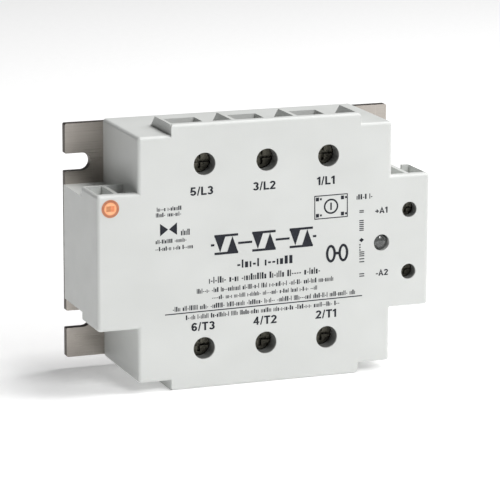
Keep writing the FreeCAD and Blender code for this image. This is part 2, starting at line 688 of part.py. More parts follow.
def phase_parts(parts, x, back):
    """Snubber capacitor, voltage clamp and optocoupler of one phase."""
    w = SNUBBER_HALF_WIDTH
    capacitor = depth_box(x - w, x + w, back, back + SNUBBER_HEIGHT, SNUBBER_Z[0], SNUBBER_Z[1])
    parts["snubber_capacitors"].append(capacitor)
    centre = FreeCAD.Vector(x, back + CLAMP_RADIUS + 0.1 - TOTAL_DEPTH, CLAMP_Z)
    clamp = Part.makeCylinder(CLAMP_RADIUS, CLAMP_THICKNESS, centre, FreeCAD.Vector(0, 0, 1))
    parts["voltage_clamps"].append(clamp)
    w = OPTO_HALF_WIDTH
    h = OPTO_HALF_HEIGHT
    front = back + OPTO_STANDOFF
    parts["optocouplers"].append(depth_box(x - w, x + w, front, front + OPTO_THICKNESS, -h, h))
    for step in (-1, 0, 1):
        x0 = x + step * PIN_PITCH - PIN_HALF_WIDTH
        x1 = x + step * PIN_PITCH + PIN_HALF_WIDTH
        for level in SIDES:
            pin = depth_box(x0, x1, back, back + PIN_HEIGHT, level * h, level * (h + PIN_THICKNESS))
            parts["opto_pins"].append(pin)


def chip_parts(parts, x, z):
    """Small chip component with a tinned end on each side."""
    front = BOARD_FRONT - CHIP_THICKNESS
    half = CHIP_HALF_LENGTH
    z0 = z - CHIP_HALF_HEIGHT
    z1 = z + CHIP_HALF_HEIGHT
    parts["board_chips"].append(depth_box(x - half, x + half, front, BOARD_FRONT, z0, z1))
    for end in SIDES:
        x0 = x + end * half
        x1 = x + end * (half + CHIP_END)
        parts["chip_ends"].append(depth_box(x0, x1, front, BOARD_FRONT, z0, z1))


def board_parts():
    """Components soldered to the circuit board."""
    parts = {"snubber_capacitors": [], "voltage_clamps": [], "optocouplers": [], "opto_pins": []}
    parts["board_chips"] = []
    parts["chip_ends"] = []
    for phase in PHASES:
        phase_parts(parts, phase * POWER_PITCH, BOARD_FRONT + BOARD_THICKNESS)
    for column in range(CHIP_COLUMNS):
        x = CHIP_PITCH * (column - (CHIP_COLUMNS - 1) / 2) + CHIP_ROW_SHIFT
        for level in SIDES:
            chip_parts(parts, x, level * CHIP_Z)
    x0, x1 = RECTIFIER_X
    front = BOARD_FRONT - RECTIFIER_THICKNESS
    h = RECTIFIER_HALF_HEIGHT
    parts["input_rectifier"] = [depth_box(x0, x1, front, BOARD_FRONT, -h, h)]
    return parts


def status_led():
    """Round indicator with a domed front and a flange at its back."""
    shoulder = LED_FRONT + LED_RADIUS * LED_DOME_SQUASH
    barrel = depth_cylinder(LED_X, 0, LED_RADIUS, shoulder, LED_BACK)
    dome = Part.makeSphere(LED_RADIUS, FreeCAD.Vector(0, 0, 0))
    squash = FreeCAD.Matrix()
    squash.scale(1.0, LED_DOME_SQUASH, 1.0)
    dome = dome.transformGeometry(squash)
    dome.translate(FreeCAD.Vector(LED_X, shoulder - TOTAL_DEPTH, 0))
    flange = depth_cylinder(LED_X, 0, LED_FLANGE_RADIUS, LED_BACK - 1.0, LED_BACK)
    return joined([barrel, dome, flange])


def led_leads():
    """Two leads from the indicator through the circuit board."""
    leads = []
    half = LED_LEAD_HALF
    end = BOARD_FRONT + BOARD_THICKNESS + 0.8
    for level in SIDES:
        z = level * LED_LEAD_Z
        leads.append(depth_box(LED_X - half, LED_X + half, LED_BACK, end, z - half, z + half))
    return Part.makeCompound(leads)


def potting(buried):
    """Cast compound around everything that stands in the lower half of the cavity."""
    plate_front = TOTAL_DEPTH - PLATE_THICKNESS
    inner_wall = POWER_CHAMBER_INNER_Z - INNER_WALL
    half = BODY_HALF_WIDTH - WALL
    block = depth_box(-half, half, POTTING_FRONT, plate_front, -inner_wall, inner_wall)
    return block.cut(buried)


def inspection_sticker():
    return depth_cylinder(STICKER_X, STICKER_Z, STICKER_RADIUS, -STICKER_THICKNESS, 0)


def main():
    os.makedirs("parts", exist_ok=True)
    save("base_plate", base_plate())
    save("housing", housing())
    save("housing_screws", housing_screws())
    buried = []
    for name, level in (("line", 1), ("load", -1)):
        for number, phase in ((1, 1), (2, 0), (3, -1)):
            x = phase * POWER_PITCH
            bar = power_bar(x, level)
            buried.append(bar)
            save("%s_bar_%d" % (name, number), bar)
            save("%s_screw_%d" % (name, number), power_screw(x, level))
            save("%s_cage_%d" % (name, number), power_cage(x, level))
    for number, level in ((1, 1), (2, -1)):
        save("control_bar_a%d" % number, control_bar(level))
        save("control_screw_a%d" % number, control_screw(level))
        save("control_cage_a%d" % number, control_cage(level))
    for name, shapes in power_stack().items():
        buried.extend(shapes)
        save(name, Part.makeCompound(shapes))
    pins = gate_pins()
    buried.extend(pins)
    save("gate_pins", Part.makeCompound(pins))
    save("potting", potting(buried))
    save("circuit_board", circuit_board())
    for name, shapes in board_parts().items():
        save(name, Part.makeCompound(shapes))
    save("status_led", status_led())
    save("led_leads", led_leads())
    save("inspection_sticker", inspection_sticker())


main()
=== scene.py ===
import json
import math
import random

import bpy
from mathutils import Matrix, Vector


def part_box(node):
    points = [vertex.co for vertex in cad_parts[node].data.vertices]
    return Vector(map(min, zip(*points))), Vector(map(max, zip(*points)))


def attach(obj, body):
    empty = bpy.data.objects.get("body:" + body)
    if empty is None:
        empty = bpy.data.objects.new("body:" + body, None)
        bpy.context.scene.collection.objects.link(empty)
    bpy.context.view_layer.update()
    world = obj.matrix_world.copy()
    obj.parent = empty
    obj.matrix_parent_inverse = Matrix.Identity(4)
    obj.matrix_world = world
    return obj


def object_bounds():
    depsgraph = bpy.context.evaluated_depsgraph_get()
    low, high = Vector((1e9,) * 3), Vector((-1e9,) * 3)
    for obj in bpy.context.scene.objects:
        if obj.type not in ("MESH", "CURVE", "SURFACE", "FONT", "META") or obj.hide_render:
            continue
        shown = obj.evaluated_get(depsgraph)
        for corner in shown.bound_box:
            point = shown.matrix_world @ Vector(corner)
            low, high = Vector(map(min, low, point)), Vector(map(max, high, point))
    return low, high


# Looks of a panel mount three-phase solid state relay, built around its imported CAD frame.
# Lengths of the prints, the indicator cup and the camera are in millimetres and become metres
# through MM. All other lengths are in metres, angles are in degrees and lamp powers are in watts.

MM = 0.001
BODY = "relay"

# Camera.
CAMERA_AZIMUTH = -20.76
CAMERA_ELEVATION = 12.94
CAMERA_ROLL = 0.31
CAMERA_DISTANCE = 869.6
CAMERA_TARGET = (1.61, -17.0, -3.49)
CAMERA_LENS = 208.4
SENSOR_WIDTH = 36.0

# Studio: the name, place, size and power of each lamp. All lamps point at the origin.
FLOOR_SIZE = 6.0
WORLD_STRENGTH = 0.16
FLOOR_GLOW = 0.28
LAMPS = (
    ("key", (0.25, -0.85, 0.75), 0.4, 5.8),
    ("side", (1.00, -0.40, 0.85), 0.45, 4.2),
    ("top", (0.50, -0.05, 1.2), 0.6, 11.8),
)

# Screw access holes of the housing, and how the painted shade on their walls fades in and ends.
POWER_PITCH = 0.0194
POWER_BORE_Z = 0.0276
POWER_BORE_RADIUS = 0.00335
CONTROL_BORE_X = 0.0457
CONTROL_BORE_Z = 0.0095
CONTROL_BORE_RADIUS = 0.00235
BORE_MARGIN = 0.0001
BORE_EDGE = 0.0001
BORE_RIM_START = 0.00015
BORE_RIM_END = 0.0009
BORE_DEPTH = 0.0048
BORE_END_FADE = 0.0002
# Strength and colour of the painted shade on the hole walls: near black, standing in for the shade inside
# the holes.
BORE_PAINTED_SHADE = 0.7
BORE_PAINTED_SHADE_COLOUR = (0.05, 0.05, 0.048)

# Raised print on the front face: its turn, its height above the face and its depth into it.
PRINT_TILT = 0.7
PRINT_THICKNESS = 0.03
PRINT_SINK = 0.01

# Terminal numbers: centres and heights.
NUMBER_PITCH = 19.45
NUMBER_SHIFT = -0.6
LINE_NUMBERS = ("line", 19.95, ("1/L1", "3/L2", "5/L3"))
LOAD_NUMBERS = ("load", -20.65, ("2/T1", "4/T2", "6/T3"))
NUMBER_HEIGHT = 2.5
CONTROL_NUMBERS = (("+A1", 36.7, 9.5), ("-A2", 36.95, -9.6))
CONTROL_NUMBER_HEIGHT = 1.85
CHARACTER_WIDENING = 1.22
CHARACTER_GAP = 0.075

# Switch sign: three pairs of triangles, joined by short lines. The triangles' measures are in
# half sizes of a pair.
SWITCH_CENTRES = (-12.6, -0.8, 11.0)
SWITCH_Z = 3.4
SWITCH_SIZE = 7.4
SWITCH_BAR = 0.7
TRIANGLE_OFFSET = 0.52
TRIANGLE_HALF_WIDTH = 0.44
TRIANGLE_HALF_HEIGHT = 0.62
SWITCH_LINES = ((-17.4, -16.3), (-8.9, -4.5), (2.9, 7.3), (14.7, 15.8))
SWITCH_LINE_LOW = 3.1
SWITCH_LINE_HIGH = 3.75

# Lines of small print: left end, right end, middle height, letter height, weight, seed.
TYPE_LINE = (-9.2, 7.8, -2.9, 2.45, 0.52, 3)
RATING_LINES = (
    (-18.1, 17.4, -7.05, 1.95, 0.30, 11),
    (-21.9, 21.2, -10.0, 1.45, 0.22, 12),
    (-17.2, 16.1, -12.3, 1.30, 0.20, 13),
    (-29.4, 28.6, -14.75, 1.45, 0.22, 14),
    (-25.4, 23.1, -17.6, 1.40, 0.22, 15),
)
SIDE_LINES = (
    (-33.9, -25.9, 15.5, 1.25, 0.20, 21),
    (-34.2, -26.6, 13.8, 1.25, 0.20, 22),
    (-34.4, -24.3, 5.9, 1.20, 0.20, 23),
    (-34.5, -23.1, 3.75, 1.25, 0.20, 24),
    (-26.6, -23.8, 8.15, 1.80, 0.20, 25),
)
CORNER_LINE = (28.7, 33.9, 14.1, 1.55, 0.26, 31)

# Marks of a line of small print. Widths and gaps are in weights, levels and heights in letter heights.
TALL_SHARE = 0.45
SHORT_HEIGHT = 0.72
BLOCK_WIDTH = 1.9
DASH_WIDTH = 1.7
DASH_LEVEL = 0.36
MARK_GAP = 0.95
WORD_GAP = 2.6

# Rule above the lowest line, the sign of two facing triangles, and the boxed sign: its frame, the
# middles of the plug-like marks in its corners, and the ring and bar in its centre.
RULE = (-31.8, -16.3, 30.5, -16.0)
FACING_TRIANGLES = (
    [(-33.0, 7.5), (-30.55, 9.35), (-33.0, 11.2)],
    [(-27.8, 7.5), (-27.8, 11.2), (-30.25, 9.35)],
)
BOX_CORNERS = (15.3, 8.5, 25.7, 15.4)
BOX_LINE = 0.28
BOX_MARK_COLUMNS = (16.5, 24.5)
BOX_MARK_ROWS = (9.5, 14.4)
BOX_RING = (20.5, 12.0, 2.3, 2.3, 0.5)
BOX_BAR = (20.25, 10.9, 20.75, 13.1)

# Sign of two ovals and the link between them.
OVAL_CENTRES = (20.45, 24.45)
OVAL_Z = -2.4
OVAL_HALF_WIDTH = 1.6
OVAL_HALF_HEIGHT = 2.7
OVAL_LINE = 0.8
OVAL_LINK = (22.0, -2.8, 22.9, -2.0)

# Upright column beside the indicator: bars, a lozenge, dots and more bars, as heights.
COLUMN_LEFT = 29.6
COLUMN_LOZENGE = [(30.3, 0.25), (31.1, 0.9), (30.3, 1.55), (29.5, 0.9)]
COLUMN_UPPER_BARS = (
    (9.25, 9.55), (9.75, 10.0), (6.7, 7.0), (6.1, 6.4),
    (5.5, 5.8), (4.9, 5.2), (4.3, 4.6), (3.75, 4.05),
)
COLUMN_UPPER_RIGHT = 31.0
COLUMN_DOTS = (-0.5, -1.3, -2.1)
COLUMN_DOT_RIGHT = 30.0
COLUMN_DOT_HALF = 0.2
COLUMN_LOWER_BARS = (
    (-2.9, -2.6), (-3.5, -3.2), (-4.1, -3.8), (-5.0, -4.7),
    (-5.9, -5.6), (-9.6, -9.3), (-10.3, -10.0),
)
COLUMN_LOWER_RIGHT = 31.2

# Steps along an arc of a character, round a ring of the print and round a turned piece.
ARC_STEPS = 14
RING_STEPS = 48
LATHE_STEPS = 40

# Reflector cup of the indicator: the (radius, depth behind the front face) of its outline.
CUP_PROFILE = (
    (0.25, 5.6), (0.95, 4.6), (1.05, 4.6), (1.05, 4.9),
    (0.45, 6.1), (0.45, 8.3), (0.05, 8.3), (0.05, 5.6),
)

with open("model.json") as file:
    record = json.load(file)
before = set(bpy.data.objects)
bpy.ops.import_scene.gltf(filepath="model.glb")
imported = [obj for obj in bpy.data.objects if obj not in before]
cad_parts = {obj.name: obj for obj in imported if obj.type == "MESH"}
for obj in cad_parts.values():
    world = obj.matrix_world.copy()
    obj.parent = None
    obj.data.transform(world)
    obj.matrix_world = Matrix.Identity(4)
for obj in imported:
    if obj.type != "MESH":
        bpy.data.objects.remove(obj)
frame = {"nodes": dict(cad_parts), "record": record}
cad_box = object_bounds()

record = frame["record"]
FRONT_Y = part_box("housing")[0].y


# ---------------------------------------------------------------- materials

class Shader:
    """A new node material with short calls for the nodes that this script uses."""

    def __init__(self, name):
        self.material = bpy.data.materials.new(name)
        self.material.use_nodes = True
        self.tree = self.material.node_tree
        self.nodes = self.tree.nodes
        self.surface = self.nodes["Principled BSDF"]
        self.coords = self.nodes.new("ShaderNodeTexCoord")

    def link(self, source, target):
        self.tree.links.new(source, target)

    def mapping(self, scale, space="Object", rotation=(0, 0, 0), location=(0, 0, 0)):
        node = self.nodes.new("ShaderNodeMapping")
        node.inputs["Scale"].default_value = scale
        node.inputs["Rotation"].default_value = rotation
        node.inputs["Location"].default_value = location
        self.link(self.coords.outputs[space], node.inputs["Vector"])
        return node.outputs["Vector"]

    def noise(self, scale, detail=3.0, rough=0.5, vector=None):
        node = self.nodes.new("ShaderNodeTexNoise")
        node.inputs["Scale"].default_value = scale
        node.inputs["Detail"].default_value = detail
        node.inputs["Roughness"].default_value = rough
        self.link(vector or self.coords.outputs["Object"], node.inputs["Vector"])
        return node.outputs["Fac"]

    def cells(self, scale):
        """Distance from the middle of each cell of a cell pattern."""
        node = self.nodes.new("ShaderNodeTexVoronoi")
        node.inputs["Scale"].default_value = scale
        self.link(self.coords.outputs["Object"], node.inputs["Vector"])
        return node.outputs["Distance"]

    def ramp(self, value, stops):
        """Colour along a row of (place, colour) stops."""
        node = self.nodes.new("ShaderNodeValToRGB")
        ramp = node.color_ramp
        while len(ramp.elements) < len(stops):
            ramp.elements.new(0.5)
        for element, (place, colour) in zip(ramp.elements, stops):
            element.position = place
            element.color = (*colour, 1.0)
        self.link(value, node.inputs["Fac"])
        return node.outputs["Color"]

    def grey(self, value, low, high, start=0.3, end=0.7):
        """Number that runs from low to high while the value runs from start to end."""
        node = self.nodes.new("ShaderNodeMapRange")
        node.inputs["From Min"].default_value = start
        node.inputs["From Max"].default_value = end
        node.inputs["To Min"].default_value = low
        node.inputs["To Max"].default_value = high
        self.link(value, node.inputs["Value"])
        return node.outputs["Result"]

    def mix(self, factor, a, b):
        node = self.nodes.new("ShaderNodeMix")
        node.data_type = "RGBA"
        self.plug(factor, node.inputs["Factor"])
        self.plug(a, node.inputs["A"])
        self.plug(b, node.inputs["B"])
        return node.outputs["Result"]

    def math(self, operation, a, b=0.0):
        node = self.nodes.new("ShaderNodeMath")
        node.operation = operation
        self.plug(a, node.inputs[0])
        self.plug(b, node.inputs[1])
        return node.outputs[0]

    def plug(self, value, socket):
        """Links another socket, or sets a number or a colour on the socket itself."""
        if isinstance(value, bpy.types.NodeSocket):
            self.link(value, socket)
        elif isinstance(value, (int, float)):
            socket.default_value = value
        else:
            socket.default_value = (*value, 1.0)

    def bump(self, height, distance, strength=1.0, previous=None):
        node = self.nodes.new("ShaderNodeBump")
        node.inputs["Distance"].default_value = distance
        node.inputs["Strength"].default_value = strength
        self.link(height, node.inputs["Height"])
        if previous:
            self.link(previous, node.inputs["Normal"])
        return node.outputs["Normal"]

    def split(self, space, *axes):
        """The named components of one of the texture coordinates."""
        node = self.nodes.new("ShaderNodeSeparateXYZ")
        self.link(self.coords.outputs[space], node.inputs["Vector"])
        return [node.outputs[axis] for axis in axes]

    def length(self, across, upward):
        """Length of a plane vector."""
        across_squared = self.math("MULTIPLY", across, across)
        upward_squared = self.math("MULTIPLY", upward, upward)
        return self.math("POWER", self.math("ADD", across_squared, upward_squared), 0.5)

    def finish(self, colour, roughness, normal=None, **fixed):
        """Connects the surface; the fixed values go on the shader's own sockets."""
        self.plug(colour, self.surface.inputs["Base Color"])
        self.plug(roughness, self.surface.inputs["Roughness"])
        if normal:
            self.link(normal, self.surface.inputs["Normal"])
        for label, value in fixed.items():
            self.surface.inputs[label.replace("_", " ")].default_value = value
        return self.material


def near_bore(s, across, upward, radius):
    """One inside a radius about a bore axis, zero outside it, with a soft edge."""
    reach = radius + BORE_MARGIN
    return s.grey(s.length(across, upward), 1.0, 0.0, reach, reach + BORE_EDGE)


def painted_bore_shade_mask(s):
    """Where the painted shade goes: one on the walls of the screw access holes, zero elsewhere."""
    x, y, z = s.split("Object", "X", "Y", "Z")
    height = s.math("ABSOLUTE", z)
    beside = s.math("ABSOLUTE", x)
    nearest = s.math("MINIMUM", beside, s.math("ABSOLUTE", s.math("SUBTRACT", beside, POWER_PITCH)))
    power = near_bore(s, nearest, s.math("SUBTRACT", height, POWER_BORE_Z), POWER_BORE_RADIUS)
    across = s.math("SUBTRACT", x, CONTROL_BORE_X)
    control = near_bore(s, across, s.math("SUBTRACT", height, CONTROL_BORE_Z), CONTROL_BORE_RADIUS)
    behind = s.grey(y, 0.0, 1.0, FRONT_Y + BORE_RIM_START, FRONT_Y + BORE_RIM_END)
    before = s.grey(y, 1.0, 0.0, FRONT_Y + BORE_DEPTH, FRONT_Y + BORE_DEPTH + BORE_END_FADE)
    return s.math("MULTIPLY", s.math("MAXIMUM", power, control), s.math("MULTIPLY", behind, before))


def housing_plastic():
    """Light grey moulded plastic: fine eroded grain, faint flow shading, painted shade on the walls of the
    screw holes.
    """
    s = Shader("housing_plastic")
    flow = s.noise(45.0, detail=2.0, vector=s.mapping((1.0, 1.0, 1.6)))
    speckle = s.noise(5200.0, detail=2.0)
    base = s.ramp(flow, [(0.3, (0.600, 0.612, 0.596)), (0.7, (0.640, 0.652, 0.636))])
    base = s.mix(0.10, base, s.ramp(speckle, [(0.35, (0.52, 0.53, 0.52)), (0.65, (0.74, 0.75, 0.74))]))
    # Painted shade: the walls of the screw holes are darkened to near black.
    base = s.mix(s.math("MULTIPLY", painted_bore_shade_mask(s), BORE_PAINTED_SHADE), base, BORE_PAINTED_SHADE_COLOUR)
    roughness = s.grey(s.noise(220.0, detail=4.0), 0.40, 0.52)
    grain = s.cells(2600.0)
    normal = s.bump(grain, 0.000014, 0.55)
    normal = s.bump(s.noise(160.0, detail=2.0), 0.00004, 0.35, normal)
    return s.finish(base, roughness, normal, Specular_IOR_Level=0.42)


def plate_metal():
    """Nickel-grey plate: rolled grain along X, faint stains, fine scratches, and darker, rougher faces
    where the surface does not face front or back.
    """
    s = Shader("plate_metal")
    rolled = s.noise(1.0, detail=5.0, rough=0.62, vector=s.mapping((60.0, 900.0, 5200.0)))
    stains = s.noise(70.0, detail=4.0)
    scratch = s.noise(1.0, detail=2.0, vector=s.mapping((2600.0, 500.0, 90.0), rotation=(0, 0.35, 0)))
    base = s.ramp(stains, [(0.25, (0.39, 0.355, 0.320)), (0.75, (0.51, 0.472, 0.432))])
    base = s.mix(0.35, base, s.ramp(rolled, [(0.3, (0.33, 0.302, 0.275)), (0.7, (0.58, 0.543, 0.505))]))
    bright = s.ramp(scratch, [(0.66, (0.0, 0.0, 0.0)), (0.74, (1.0, 1.0, 1.0))])
    base = s.mix(s.math("MULTIPLY", bright, 0.18), base, (0.70, 0.67, 0.63))
    roughness = s.grey(s.math("ADD", rolled, s.math("MULTIPLY", stains, 0.5)), 0.24, 0.42, 0.5, 1.0)
    # Faces that do not face front or back are made darker and rougher.
    facing = s.split("Normal", "Y")[0]
    sideways_facing = s.math("LESS_THAN", s.math("ABSOLUTE", facing), 0.6)
    base = s.mix(sideways_facing, base, s.mix(rolled, (0.075, 0.065, 0.058), (0.16, 0.14, 0.125)))
    roughness = s.math("ADD", roughness, s.math("MULTIPLY", sideways_facing, 0.2))
    normal = s.bump(rolled, 0.00001, 0.5)
    return s.finish(base, roughness, normal, Metallic=1.0)


def zinc_steel():
    """Plated steel: patchy crystals in the plating and fine drawn lines."""
    s = Shader("zinc_steel")
    low = (0.46, 0.47, 0.48)
    high = (0.70, 0.71, 0.72)
    patches = s.cells(1400.0)
    drawn = s.noise(1.0, detail=4.0, vector=s.mapping((400.0, 400.0, 6000.0)))
    base = s.ramp(patches, [(0.1, low), (0.9, high)])
    base = s.mix(0.3, base, s.ramp(drawn, [(0.35, low), (0.65, high)]))
    roughness = s.grey(s.noise(900.0), 0.28, 0.48)
    return s.finish(base, roughness, s.bump(drawn, 0.000008, 0.4), Metallic=1.0)


def shade_darkened_screw_metal():
    """Screw steel painted near black to stand for the shade deep in the holes: turned rings about its axis
    and faint brownish patches.
    """
    s = Shader("screw_steel")
    centred = s.mapping((1.0, 0.0, 1.0), space="Generated", location=(-0.5, 0.0, -0.5))
    wave = s.nodes.new("ShaderNodeTexWave")
    wave.wave_type = "RINGS"
    wave.rings_direction = "SPHERICAL"
    wave.inputs["Scale"].default_value = 34.0
    wave.inputs["Distortion"].default_value = 1.2
    s.link(centred, wave.inputs["Vector"])
    tint = s.noise(700.0, detail=3.0)
    # Painted shade: the screw colours are kept near black for the shade in the holes; the brownish patches
    # vary at random.
    patches = [(0.3, (0.055, 0.054, 0.045)), (0.52, (0.125, 0.120, 0.098)), (0.75, (0.082, 0.074, 0.062))]
    base = s.ramp(tint, patches)
    roughness = s.grey(s.noise(1500.0), 0.24, 0.42)
    return s.finish(base, roughness, s.bump(wave.outputs["Fac"], 0.00001, 0.5), Metallic=1.0)


def copper(name, low, high):
    """Rolled strip with tarnish in slow patches."""
    s = Shader(name)
    tarnish = s.noise(260.0, detail=4.0)
    rolled = s.noise(1.0, detail=3.0, vector=s.mapping((4000.0, 4000.0, 160.0)))
    base = s.ramp(tarnish, [(0.3, low), (0.7, high)])
    base = s.mix(0.25, base, s.ramp(rolled, [(0.35, low), (0.65, high)]))
    roughness = s.grey(tarnish, 0.26, 0.44)
    return s.finish(base, roughness, s.bump(rolled, 0.000006, 0.4), Metallic=1.0)


def solder_tin():
    """Soft grey solder with a slightly orange-peel surface."""
    s = Shader("solder_tin")
    peel = s.noise(1800.0, detail=3.0)
    base = s.ramp(peel, [(0.3, (0.52, 0.52, 0.53)), (0.7, (0.72, 0.72, 0.73))])
    return s.finish(base, s.grey(peel, 0.25, 0.42), s.bump(peel, 0.00001, 0.5), Metallic=1.0)


def plain(name, low, high, rough, scale=600.0, grain=0.00001):
    """Moulded, dipped or cast surface: two close colours, mottled, over a fine grain."""
    s = Shader(name)
    mottle = s.noise(scale, detail=4.0)
    fine = s.noise(scale * 6.0, detail=2.0)
    base = s.ramp(mottle, [(0.3, low), (0.7, high)])
    return s.finish(base, s.grey(fine, rough[0], rough[1]), s.bump(fine, grain, 0.5))


def board_laminate():
    """Green solder mask over a woven laminate, whose weave shows faintly."""
    s = Shader("board_laminate")
    brick = s.nodes.new("ShaderNodeTexBrick")
    brick.offset = 0.5
    brick.inputs["Scale"].default_value = 420.0
    brick.inputs["Mortar Size"].default_value = 0.03
    brick.inputs["Color1"].default_value = (0.018, 0.120, 0.050, 1.0)
    brick.inputs["Color2"].default_value = (0.024, 0.150, 0.062, 1.0)
    brick.inputs["Mortar"].default_value = (0.040, 0.210, 0.090, 1.0)
    s.link(s.mapping((1.0, 1.0, 1.0), rotation=(math.pi / 2, 0, 0)), brick.inputs["Vector"])
    weave = s.noise(2400.0, detail=2.0)
    threads = s.ramp(weave, [(0.4, (0.015, 0.10, 0.04)), (0.6, (0.03, 0.18, 0.08))])
    base = s.mix(0.25, brick.outputs["Color"], threads)
    return s.finish(base, s.grey(weave, 0.22, 0.34), s.bump(brick.outputs["Fac"], 0.00002, 0.4))


def clear_epoxy():
    """Water-clear lens, slightly smoky inside and faintly orange-peeled."""
    s = Shader("clear_led")
    peel = s.noise(900.0, detail=2.0)
    base = s.ramp(peel, [(0.3, (0.22, 0.233, 0.225)), (0.7, (0.29, 0.305, 0.297))])
    roughness = s.grey(peel, 0.03, 0.06)
    normal = s.bump(peel, 0.000003, 0.3)
    return s.finish(base, roughness, normal, Transmission_Weight=0.7, IOR=1.53, Specular_IOR_Level=0.85)


def sticker_paper():
    """Round orange label: dark rim, light field and a plain two-tone square in the middle."""
    s = Shader("sticker_paper")
    x, z = s.split("Generated", "X", "Z")
    across = s.math("SUBTRACT", x, 0.5)
    upward = s.math("SUBTRACT", z, 0.5)
    radius = s.length(across, upward)
    fibre = s.noise(1500.0, detail=4.0)
    rim = (0.42, 0.135, 0.060)
    field = (0.94, 0.36, 0.155)
    glow = (0.98, 0.50, 0.26)
    edge = (0.62, 0.26, 0.13)
    circles = [(0.0, field), (0.26, glow), (0.335, field), (0.37, rim), (0.48, rim), (0.5, edge)]
    base = s.ramp(radius, circles)
    within_width = s.math("LESS_THAN", s.math("ABSOLUTE", across), 0.235)
    within_height = s.math("LESS_THAN", s.math("ABSOLUTE", upward), 0.155)
    inside = s.math("MULTIPLY", within_width, within_height)
    left = s.math("LESS_THAN", across, 0.02)
    square = s.mix(left, (0.80, 0.235, 0.085), (0.58, 0.215, 0.075))
    base = s.mix(inside, base, square)
    base = s.mix(0.12, base, s.ramp(fibre, [(0.35, (0.45, 0.20, 0.12)), (0.65, (1.0, 0.62, 0.42))]))
    return s.finish(base, s.grey(fibre, 0.45, 0.62), s.bump(fibre, 0.00001, 0.4))


def print_ink():
    """Pad-printed ink: near black, a little thin in places."""
    s = Shader("print_ink")
    thin = s.noise(1300.0, detail=5.0, rough=0.65)
    layers = [(0.30, (0.010, 0.011, 0.016)), (0.62, (0.019, 0.021, 0.029)), (0.80, (0.060, 0.063, 0.073))]
    roughness = s.grey(thin, 0.42, 0.62)
    return s.finish(s.ramp(thin, layers), roughness, s.bump(thin, 0.000008, 0.4), Specular_IOR_Level=0.22)


def studio_floor():
    """Pale translucent sweep, lit a little from below."""
    s = Shader("studio_floor")
    paper = s.noise(300.0, detail=3.0)
    base = s.ramp(paper, [(0.3, (0.90, 0.90, 0.90)), (0.7, (0.93, 0.93, 0.93))])
    s.plug(base, s.surface.inputs["Emission Color"])
    s.surface.inputs["Emission Strength"].default_value = FLOOR_GLOW
    return s.finish(base, 0.9, s.bump(paper, 0.00002, 0.2))


def slot_materials():
    """One material for each material slot of the record."""
    made = {
        "housing_plastic": housing_plastic(),
        "plate_metal": plate_metal(),
        "zinc_steel": zinc_steel(),
        "screw_steel": shade_darkened_screw_metal(),
        "solder_tin": solder_tin(),
        "board_laminate": board_laminate(),
        "clear_led": clear_epoxy(),
        "sticker_paper": sticker_paper(),
    }
    for name, low, high in (
        ("tinned_copper", (0.50, 0.46, 0.41), (0.68, 0.64, 0.58)),
        ("bare_copper", (0.55, 0.22, 0.10), (0.78, 0.38, 0.20)),
    ):
        made[name] = copper(name, low, high)
    for name, low, high, rough in (
        ("white_ceramic", (0.78, 0.77, 0.74), (0.86, 0.85, 0.82), (0.35, 0.5)),
        ("silicon", (0.030, 0.034, 0.045), (0.060, 0.062, 0.075), (0.12, 0.22)),
        ("black_package", (0.010, 0.010, 0.011), (0.022, 0.022, 0.024), (0.45, 0.65)),
        ("capacitor_case", (0.50, 0.30, 0.030), (0.62, 0.40, 0.050), (0.30, 0.45)),
        ("clamp_coating", (0.015, 0.055, 0.20), (0.025, 0.085, 0.27), (0.18, 0.32)),
    ):
        made[name] = plain(name, low, high, rough)
    low = (0.012, 0.012, 0.013)
    high = (0.028, 0.028, 0.030)
    made["potting_compound"] = plain("potting_compound", low, high, (0.2, 0.4), 120.0, 0.00006)
    return made


def dress_cad_nodes(materials):
    """Gives every CAD node the material of its slot in the record."""
    for entry in record["subparts"]:
        node = frame["nodes"][entry["node"]]
        node.data.materials.clear()
        node.data.materials.append(materials[entry["material_slot"]])


# ---------------------------------------------------------------- printed marks

def rectangle(x0, z0, x1, z1):
    return [(x0, z0), (x1, z0), (x1, z1), (x0, z1)]


def arc(cx, cz, half_width, half_height, start, end, steps=ARC_STEPS):
    """Points along part of an oval, between two angles in degrees."""
    points = []
    for step in range(steps + 1):
        angle = math.radians(start + (end - start) * step / steps)
        points.append((cx + half_width * math.cos(angle), cz + half_height * math.sin(angle)))
    return points


def ring(cx, cz, half_width, half_height, width):
    """Oval ring: a pair of outlines, outer and inner."""
    outer = arc(cx, cz, half_width, half_height, 0, 360, RING_STEPS)[:-1]
    inner = arc(cx, cz, half_width - width, half_height - width, 0, 360, RING_STEPS)[:-1]
    return (outer, inner)


def border(x0, z0, x1, z1, width):
    """Rectangular frame about a centre line: a pair of outlines, outer and inner."""
    half = width / 2
    outer = rectangle(x0 - half, z0 - half, x1 + half, z1 + half)
    inner = rectangle(x0 + half, z0 + half, x1 - half, z1 - half)
    return (outer, inner)


def greeked_line(x0, x1, z, height, weight, seed):
    """A line of plain ticks, blocks and dashes in word-like groups, where small print would be."""
    dice = random.Random(seed)
    shapes = []
    foot = z - height / 2
    x = x0
    left_in_word = dice.randint(5, 11)
    while x < x1 - weight:
        if left_in_word == 0:
            left_in_word = dice.randint(4, 12)
            x += weight * WORD_GAP
            continue
        tall = height if dice.random() < TALL_SHARE else height * SHORT_HEIGHT
        kind = dice.randrange(4)
        if kind == 0:
            width = weight * BLOCK_WIDTH
            shapes.append(rectangle(x, foot, x + width, foot + tall))
        elif kind == 1:
            width = weight * DASH_WIDTH
            middle = foot + height * DASH_LEVEL
            shapes.append(rectangle(x, middle - weight / 2, x + width, middle + weight / 2))
        else:
            width = weight
            shapes.append(rectangle(x, foot, x + width, foot + tall))
        x += width + weight * MARK_GAP
        left_in_word -= 1
    return shapes


